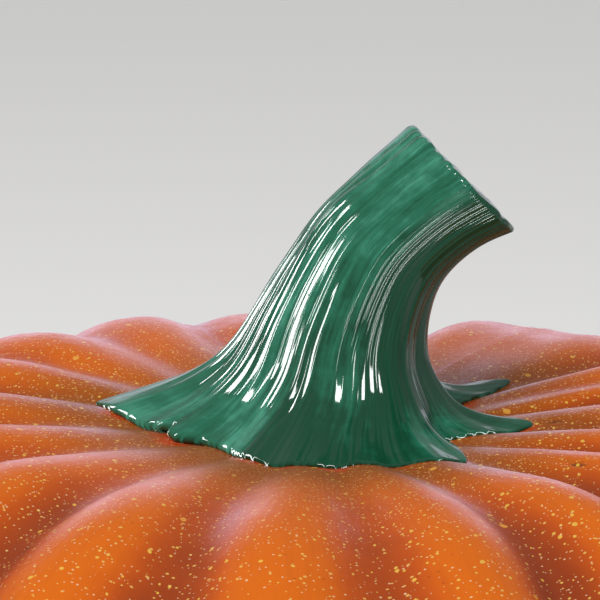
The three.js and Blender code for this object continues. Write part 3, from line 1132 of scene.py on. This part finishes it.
@dataclass
class Stem:
    """The green stem with its clawed foot on top of the fruit, one closed skin.

    Each ridge has its azimuth and its share of the full height. The cords start over the lip within
    one range of distances on the left of the foot and within another on its right.
    """

    rind: Rind
    line: tuple[Triple, ...] = (
        (0, 0, 0), (0.0049, 0.0006, 0.0135), (0.007, 0.0015, 0.026), (0.0115, 0.0029, 0.0384),
        (0.0171, 0.0046, 0.0478), (0.0264, 0.0066, 0.0562), (0.0371, 0.0089, 0.0634),
    )
    radius: float = 0.0166
    end_swell: float = 0.0019
    end_round: float = 0.0016
    swell_from: float = 0.75
    tilt: float = 45.3
    lean_back: float = 5
    flare_length: float = 0.0158
    foot: tuple[FootPoint, ...] = (
        FootPoint(-160, 0.047), FootPoint(-150, 0.0385, 0.0014), FootPoint(-134, 0.033, 0.0016),
        FootPoint(-120, 0.0375), FootPoint(-105, 0.0575, 0.0009), FootPoint(-92, 0.0495, 0.0022),
        FootPoint(-74, 0.0388, 0.0028), FootPoint(-62, 0.0376, 0.0028), FootPoint(-55, 0.033, 0.0026),
        FootPoint(-38, 0.0332, 0.0022), FootPoint(-27, 0.0373, 0.0016), FootPoint(-15, 0.040, 0.0011),
        FootPoint(0, 0.042, 0.001), FootPoint(14, 0.0415, 0.001), FootPoint(29, 0.046, 0.0009),
        FootPoint(36, 0.0505, 0.0008), FootPoint(45, 0.0515, 0.0008), FootPoint(63, 0.0345, 0.0014),
        FootPoint(73.5, 0.0455, 0.001), FootPoint(83, 0.0547, 0.0007), FootPoint(93, 0.0425, 0.001),
        FootPoint(104, 0.035, 0.0014), FootPoint(112, 0.039), FootPoint(124.5, 0.063, 0.0008),
        FootPoint(134, 0.044), FootPoint(144, 0.034, 0.0016), FootPoint(153, 0.038, 0.0014),
        FootPoint(163, 0.046), FootPoint(173, 0.0385, 0.0014), FootPoint(182, 0.0345, 0.0016),
        FootPoint(190, 0.0385, 0.0014),
    )
    foot_rounding: float = 0.7
    web_rounding: float = 7
    web_length: float = 0.015
    lip_wave: float = 0.15
    lip_waves: int = 44
    lip_length: float = 0.006
    follows_ribs: float = 0.030
    ridges: tuple[Pair, ...] = (
        (-160, 0.8), (-105, 0.9), (-64, 0.6), (-14, 0.7), (45, 0.5), (83, 0.6), (124.5, 0.6), (163, 0.8),
    )
    ridge_height: float = 0.0013
    ridge_width: float = 14
    ridge_at_foot: float = 0.35
    ridge_at_top: float = 0.35
    ridge_fade: Pair = (0.35, 0.8)
    sunk_in: float = 0.0003
    slit_at: float = -71
    slit_width: float = 1.6
    slit_depth: float = 0.0022
    slit_height: float = 0.0015
    cords: int = 30
    cords_face: float = -60
    cords_fade: Pair = (62, 118)
    cords_draw_in: float = 42
    cords_draw_in_from: Pair = (0.3, 0.55)
    cords_far_loss: float = 0.85
    cords_start_azimuth: float = -75
    cords_start_left: Pair = (0.003, 0.009)
    cords_start_right: Pair = (0.012, 0.020)
    cords_wander: float = 6
    cords_uneven: float = 0.4
    cord_depth: float = 0.00046
    cord_roundness: float = 0.75
    cord_level: float = 0.7
    fine_cord_share: float = 0.18
    fine_cord_level: float = 0.4
    groove_level: float = 0.75
    lump_depth: float = 0.0004
    lip_turn: float = 150
    ragged_depth: float = 0.0003
    ragged_waves: int = 34
    ragged_from: float = 0.88
    cut_dish: float = 0.0009
    fibres: int = 130
    fibre_depth: float = 0.00015
    cut_shade: float = 0.7
    column_step: float = 0.65
    skin_rows: int = 106
    row_power: float = 1.35
    lip_rows: int = 9
    end_rows: int = 5
    under_shares: tuple[float, ...] = (0.3, 0.6, 0.85, 0.96)
    cut_shares: tuple[float, ...] = (0.97, 0.9, 0.78, 0.6, 0.4, 0.2, 0.08)

    def __post_init__(self) -> None:
        """Draw the centre line and space the columns, so that each claw's tip has one."""
        self.centre = SmoothLine(self.line)
        first = self.foot[0]
        corners = [*self.foot, FootPoint(first.azimuth + 360, first.reach, first.lip)]
        self.turns = np.array([corner.azimuth for corner in corners])
        self.reaches = np.array([corner.reach for corner in corners])
        self.lips = np.array([corner.lip for corner in corners])
        spans = []
        for start, end in zip(self.turns, self.turns[1:]):
            spans.append(np.linspace(start, end, round((end - start) / self.column_step), endpoint=False))
        self.azimuth = np.concatenate(spans)

    def unwind(self, azimuth: Array) -> Array:
        """Turn azimuths into the one turn that the foot's corners span."""
        return np.mod(azimuth - self.turns[0], 360) + self.turns[0]

    def edge(self, azimuth: Array) -> Array:
        """Give the distance from the axis to the straight-sided outline of the foot.

        Args:
            azimuth: Azimuths, in degrees.

        Returns:
            The distance at each of them.
        """
        turned = self.unwind(azimuth)
        index = np.searchsorted(self.turns, turned, side="right") - 1
        before, after = np.radians(self.turns[index]), np.radians(self.turns[index + 1])
        near, far = self.reaches[index], self.reaches[index + 1]
        place = np.radians(turned)
        width = near * np.sin(place - before) + far * np.sin(after - place)
        return near * far * np.sin(after - before) / width

    def reach(self, azimuth: Array, rounding: float) -> Array:
        """Give the same distance with its tips and corners rounded.

        Args:
            azimuth: Azimuths, in degrees.
            rounding: How far apart the five places that are averaged lie, in degrees.

        Returns:
            The distance at each of them.
        """
        weights = {-2: 1, -1: 2, 0: 3, 1: 2, 2: 1}
        parts = [weight * self.edge(azimuth + step * rounding) for step, weight in weights.items()]
        return sum(parts) / sum(weights.values())

    def lip(self, azimuth: Array) -> Array:
        """Give the height of the foot's edge over the fruit."""
        wave = noise_round(azimuth, self.lip_waves, seed=31)
        return np.interp(self.unwind(azimuth), self.turns, self.lips) * (1 + self.lip_wave * wave)

    def ridge(self, azimuth: Array) -> Array:
        """Give the height of the ridges that run up from the claws, about their mean.

        Args:
            azimuth: Azimuths, in degrees.

        Returns:
            The height at each of them.
        """
        mean = self.ridge_width * math.sqrt(math.pi) / 360
        height = np.zeros_like(azimuth)
        for at, share in self.ridges:
            away = np.mod(azimuth - at + 180, 360) - 180
            height += share * (np.exp(-((away / self.ridge_width) ** 2)) - mean)
        return self.ridge_height * height

    def frame_at(self, along: Array) -> tuple[Array, Array, Array, Array]:
        """Give the stem's centre, and its right, front and lengthwise directions.

        Args:
            along: Distances along the centre line.

        Returns:
            Four arrays of vectors.
        """
        place = along / self.centre.length
        tilt = np.radians(self.tilt) * place
        lean = np.radians(self.lean_back) * place
        up = np.stack([np.sin(tilt) * np.cos(lean), np.sin(lean), np.cos(tilt) * np.cos(lean)], axis=-1)
        right = np.stack([np.cos(tilt), np.zeros_like(tilt), -np.sin(tilt)], axis=-1)
        return self.centre.at(along), right, np.cross(right, up), up

    def skin(self, azimuth: Array, along: Array) -> Array:
        """Give points of the stem's skin before its flutes are cut.

        Args:
            azimuth: Azimuths, in degrees.
            along: Distances along the centre line.

        Returns:
            The points.
        """
        length = self.centre.length
        place = along / length
        centre, right, front, _ = self.frame_at(along)
        last = math.exp(-length / self.flare_length)
        flare = (np.exp(-along / self.flare_length) - last) / (1 - last)
        close = np.maximum((along - length) / self.end_round + 1, 0)
        swell = np.maximum((place - self.swell_from) / (1 - self.swell_from), 0) ** 2
        neck = self.radius + self.end_swell * swell
        neck -= self.end_round * (1 - np.sqrt(1 - np.minimum(close, 1) ** 2))
        faded = 1 - (1 - self.ridge_at_top) * smoothstep(*self.ridge_fade, place)
        ridge = self.ridge(azimuth) * (self.ridge_at_foot + (1 - self.ridge_at_foot) * (1 - flare)) * faded
        beside_slit = (azimuth - self.slit_at) / self.slit_width
        slit = self.slit_depth * np.exp(-(beside_slit**2) - along / self.slit_height)
        crisp, soft = self.reach(azimuth, self.foot_rounding), self.reach(azimuth, self.web_rounding)
        reach = crisp + (soft - crisp) * smoothstep(0, self.web_length, along)
        radius = (neck + (reach - self.radius) * flare + ridge - slit)[..., None]
        angle = np.radians(azimuth)[..., None]
        points = centre + radius * (np.sin(angle) * right + np.cos(angle) * front)
        follow = 1 - smoothstep(0, self.follows_ribs, along)
        top = self.rind.crest_line[0][1]
        seat = top + (self.rind.height(points[..., 0], points[..., 1]) - top) * follow
        points[..., 2] += seat + self.lip(azimuth) * np.exp(-along / self.lip_length)
        return points

    def flutes(self, azimuth: Array, along: Array) -> tuple[Array, Array]:
        """Give the relief of the fine flutes, deepest on the left and faded out over the foot.

        Args:
            azimuth: Azimuths, in degrees.
            along: Distances along the centre line.

        Returns:
            The relief, and how deep in a groove each place lies, 0 to 1.
        """
        place = along / self.centre.length
        wander = azimuth + self.cords_wander * drawn_out_noise(azimuth, place, 11, 2, seed=11)
        backs = np.abs(np.sin(np.radians(wander) * self.cords / 2)) ** self.cord_roundness
        uneven = 1 - self.cords_uneven * (1 - drawn_out_noise(azimuth, place, 19, 3, seed=12))
        narrow = np.abs(drawn_out_noise(wander, place, 96, 3, seed=13))
        lumps = drawn_out_noise(azimuth, place, 26, 7, seed=14)
        away = np.abs(np.mod(azimuth - self.cords_face + 180, 360) - 180)
        away += self.cords_draw_in * smoothstep(*self.cords_draw_in_from, place)
        strength = 1 - self.cords_far_loss * smoothstep(*self.cords_fade, away)
        side = 0.5 + 0.5 * np.cos(np.radians(azimuth - self.cords_start_azimuth))
        left, right = self.cords_start_left, self.cords_start_right
        low = right[0] + (left[0] - right[0]) * side
        high = right[1] + (left[1] - right[1]) * side
        fade = smoothstep(0, 1, (along - low) / (high - low)) * strength
        cords = uneven * (backs - self.cord_level)
        cords += self.fine_cord_share * (narrow - self.fine_cord_level)
        relief = self.cord_depth * cords + self.lump_depth * lumps
        return relief * fade, np.clip(self.groove_level - backs * uneven, 0, 1) * fade

    def lip_rings(self, skin: Array) -> list[Array]:
        """Give the rings of the rolled edge of the foot, from under it to its upper side.

        Args:
            skin: The rings of the skin, the lowest first.

        Returns:
            The rings.
        """
        outward = skin[0] - skin[1]
        outward /= np.linalg.norm(outward, axis=1, keepdims=True)
        normal = grid_normals(skin[:3])[0]
        thick = (self.lip(self.azimuth) + self.sunk_in) / (1 + normal[:, 2])
        middle = skin[0] - normal * thick[:, None]
        rings = []
        for turn in np.radians(np.linspace(self.lip_turn, 0, self.lip_rows, endpoint=False)):
            rings.append(middle + (np.cos(turn) * normal + np.sin(turn) * outward) * thick[:, None])
        return rings

    def side_rings(self) -> tuple[Array, Array]:
        """Give the rings of the stem's side, from under the edge of its foot to the edge of its cut.

        Returns:
            The points, by ring and column, and how deep in a groove each lies.
        """
        length = self.centre.length
        rise = np.linspace(0, 1, self.skin_rows) ** self.row_power * (length - self.end_round)
        quarter = np.linspace(0, math.pi / 2, self.end_rows + 1)[1:]
        close = length - self.end_round * (1 - np.sin(quarter))
        turns, along = np.meshgrid(self.azimuth, np.concatenate([rise, close]))
        skin = self.skin(turns, along)
        relief, groove = self.flutes(turns, along)
        skin += grid_normals(skin) * relief[..., None]
        _, _, _, up = self.frame_at(np.array([length]))
        ragged = self.ragged_depth * noise_round(self.azimuth, self.ragged_waves, seed=22)
        ragged = ragged * smoothstep(self.ragged_from, 1, along / length)
        skin += ragged[..., None] * up[0]
        lip = self.lip_rings(skin)
        flat = np.zeros((len(lip), len(self.azimuth)))
        return np.array([*lip, *skin]), np.array([*flat, *groove])

    def cut_rings(self, rim: Array) -> list[Array]:
        """Give the rings of the cut end, from its rim inwards: a shallow dish with fine fibres.

        Args:
            rim: The ring round the cut.

        Returns:
            The rings.
        """
        _, _, _, up = self.frame_at(np.array([self.centre.length]))
        centre = rim.mean(axis=0)
        fibres = noise_round(self.azimuth, self.fibres, seed=21)
        rings = []
        for share in self.cut_shares:
            raised = self.fibre_depth * fibres * math.sin(math.pi * share)
            raised -= self.cut_dish * (1 - share**2)
            rings.append(centre + (rim - centre) * share + up * raised[:, None])
        return rings

    def under_rings(self, outline: Array) -> list[Array]:
        """Give the rings under the foot, sunk a little into the fruit, from the edge inwards.

        Args:
            outline: The ring at the foot's edge.

        Returns:
            The rings.
        """
        rings = []
        for share in reversed(self.under_shares):
            ring = outline * share
            ring[:, 2] = self.rind.height(ring[:, 0], ring[:, 1]) - self.sunk_in
            rings.append(ring)
        return rings

    def build(self, effects: Effects) -> Object:
        """Model and dress the stem.

        Args:
            effects: The shared shader groups.

        Returns:
            The finished piece.
        """
        side, groove = self.side_rings()
        cut = self.cut_rings(side[-1])
        under = self.under_rings(side[0])
        count = len(self.azimuth)
        piece, grid = closed_tube("stem", count, len(side), len(under), len(cut))
        rings = np.array([*reversed(under), *side, *cut])
        shaded = np.full((len(cut), count), self.cut_shade)
        grooves = np.array([*np.zeros((len(under), count)), *groove, *shaded])
        column = grid.column
        inside = np.clip(grid.ring - 1, 0, len(rings) - 1)
        points = rings[inside, column]
        points[grid.ring == 0] = (0, 0, self.rind.crest_line[0][1] - self.sunk_in)
        points[grid.ring > len(rings)] = cut[-1].mean(axis=0)
        write_points(piece, points)

        far = np.cumsum(np.r_[0, np.linalg.norm(np.diff(rings, axis=0), axis=2).mean(axis=1)])
        angle = np.radians(self.azimuth[column])
        around = self.radius * np.stack([np.sin(angle), -np.cos(angle)], axis=-1)
        store(piece, PLACE, np.concatenate([around, far[inside][:, None]], axis=1))
        store(piece, GROOVE, grooves[inside, column])
        store(piece, HEIGHT_SHARE, np.clip((inside - len(under) - self.lip_rows) / self.skin_rows, 0, 1))
        smooth_shading(piece)
        piece.data.materials.append(StemFinish(around=self.radius).material(effects))
        return piece


class LightRole(Enum):
    """What each soft light does."""

    KEY = "left_soft_box"
    WINDOW = "left_window_gloss"
    SIDE = "far_left_window_gloss"
    FRONT = "front_window_gloss"
    BACKDROP = "bright_backdrop"
    VEIL = "bright_backdrop_on_rind"


@dataclass(frozen=True)
class SoftLight:
    """A soft rectangular light that looks at the fruit.

    only names the one piece that it lights, if it does not light them all.
    """

    role: LightRole
    azimuth: float
    elevation: float
    distance: float
    size: Pair
    power: float
    tint: str = "ffffff"
    in_gloss: bool = True
    in_diffuse: bool = True
    only: str = ""

    def place(self, target: Vector, pieces: dict[str, Object]) -> Object:
        """Hang the light.

        Args:
            target: The point that it looks at.
            pieces: The pieces that a light may be kept for, by name.

        Returns:
            The light.
        """
        lamp = bpy.data.lights.new(self.role.value, "AREA")
        lamp.shape = "RECTANGLE"
        lamp.size, lamp.size_y = self.size
        lamp.energy = self.power
        lamp.color = colour(self.tint)[:3]
        light = bpy.data.objects.new(self.role.value, lamp)
        bpy.context.scene.collection.objects.link(light)
        turn, rise = math.radians(self.azimuth), math.radians(self.elevation)
        level = math.cos(rise)
        away = Vector((math.sin(turn) * level, -math.cos(turn) * level, math.sin(rise)))
        light.location = target + away * self.distance
        light.rotation_euler = (-away).to_track_quat("-Z", "Y").to_euler()
        light.visible_camera = False
        light.visible_glossy = self.in_gloss
        light.visible_diffuse = self.in_diffuse
        if self.only:
            lit = bpy.data.collections.new(f"lit_by_{self.role.value}")
            lit.objects.link(pieces[self.only])
            light.light_linking.receiver_collection = lit
        return light


@dataclass
class Studio:
    """The plain pale floor, the soft lights and the camera.

    The camera sees the target at the target pixel of a square picture.
    """

    floor_tone: str = "f2f1ee"
    floor_roughness: float = 0.85
    floor_glow: float = 0.22
    floor_size: float = 24
    floor_sides: int = 96
    sky_tone: str = "f4f5f8"
    sky_strength: float = 0.38
    lights: tuple[SoftLight, ...] = (
        SoftLight(LightRole.KEY, -24, 52, 1.6, (1.2, 1.0), 22, in_gloss=False),
        SoftLight(LightRole.WINDOW, -84, 30, 1.6, (0.42, 1.1), 44, in_diffuse=False, only="stem"),
        SoftLight(LightRole.SIDE, -129, 17, 1.6, (0.26, 0.85), 17, in_diffuse=False, only="stem"),
        SoftLight(LightRole.FRONT, 37, 43, 1.6, (0.46, 0.36), 18, in_diffuse=False, only="stem"),
        SoftLight(LightRole.BACKDROP, 180, 6, 4.0, (4.4, 1.5), 12, "ecebff", in_diffuse=False),
        SoftLight(LightRole.VEIL, 180, 8, 3.9, (4.0, 1.5), 54, "ced4ff", in_diffuse=False, only="rind"),
    )
    focal_pixels: float = 3200
    image_pixels: float = 600
    target_pixel: Pair = (315, 425)
    target: Triple = (0, 0, 0.16)
    elevation: float = 15
    distance: float = 0.8
    sensor: float = 36

    def build(self, pieces: dict[str, Object]) -> None:
        """Set up the camera, the floor, the sky and the lights.

        Args:
            pieces: The finished pieces, by name.
        """
        self.place_camera()
        self.lay_floor()
        self.hang_sky()
        for light in self.lights:
            light.place(Vector(self.target), pieces)

    def place_camera(self) -> None:
        """Place the camera at the photograph's viewing angle."""
        rise = math.radians(self.elevation)
        back = Vector((0, -math.cos(rise), math.sin(rise)))
        right = Vector((1, 0, 0))
        up = Vector((0, math.sin(rise), math.cos(rise)))
        half = self.image_pixels / 2
        aside = (self.target_pixel[0] - half) / self.focal_pixels
        below = (self.target_pixel[1] - half) / self.focal_pixels
        forward = (-back - right * aside + up * below).normalized()
        data = bpy.data.cameras.new("photo_camera")
        data.sensor_width = self.sensor
        data.lens = self.focal_pixels * self.sensor / self.image_pixels
        camera = bpy.data.objects.new("photo_camera", data)
        bpy.context.scene.collection.objects.link(camera)
        camera.location = Vector(self.target) + back * self.distance
        camera.rotation_euler = forward.to_track_quat("-Z", "Y").to_euler()
        bpy.context.scene.camera = camera

    def lay_floor(self) -> None:
        """Lay the pale floor."""
        deselect_all()
        radius = self.floor_size / 2
        bpy.ops.mesh.primitive_circle_add(vertices=self.floor_sides, radius=radius, fill_type="NGON")
        floor = bpy.context.active_object
        floor.name = "floor"
        made = bpy.data.materials.new("floor_pale")
        made.use_nodes = True
        tree = NodeTree(made.node_tree)
        shader = tree.add("BsdfPrincipled", {
            "Base Color": colour(self.floor_tone),
            "Roughness": self.floor_roughness,
            "Emission Color": colour(self.floor_tone),
            "Emission Strength": self.floor_glow,
        })
        tree.add("OutputMaterial", {"Surface": shader.outputs[0]})
        floor.data.materials.append(made)

    def hang_sky(self) -> None:
        """Give the room its even pale light."""
        world = bpy.data.worlds.new("pale_room")
        world.use_nodes = True
        tree = NodeTree(world.node_tree)
        shade = tree.add("Background", {"Color": colour(self.sky_tone), "Strength": self.sky_strength})
        tree.add("OutputWorld", {"Surface": shade.outputs[0]})
        bpy.context.scene.world = world


def main() -> None:
    """Build the scene and report each piece."""
    logging.basicConfig(level=logging.INFO, format="%(message)s")
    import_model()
    bpy.context.scene.view_settings.view_transform = "Standard"
    effects = Effects.make()
    rind = Rind()
    stem = Stem(rind)
    pieces = {
        "pumpkin_body": (rind.build(stem, effects), "rind"),
        "pumpkin_stem": (stem.build(effects), "stem"),
    }
    for node, (piece, slot) in pieces.items():
        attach(piece, "root")
        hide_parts(node)
        LOG.info("%s: %d vertices, for %s", piece.name, len(piece.data.vertices), node)
    Studio().build({slot: piece for piece, slot in pieces.values()})


if __name__ == "__main__":
    main()
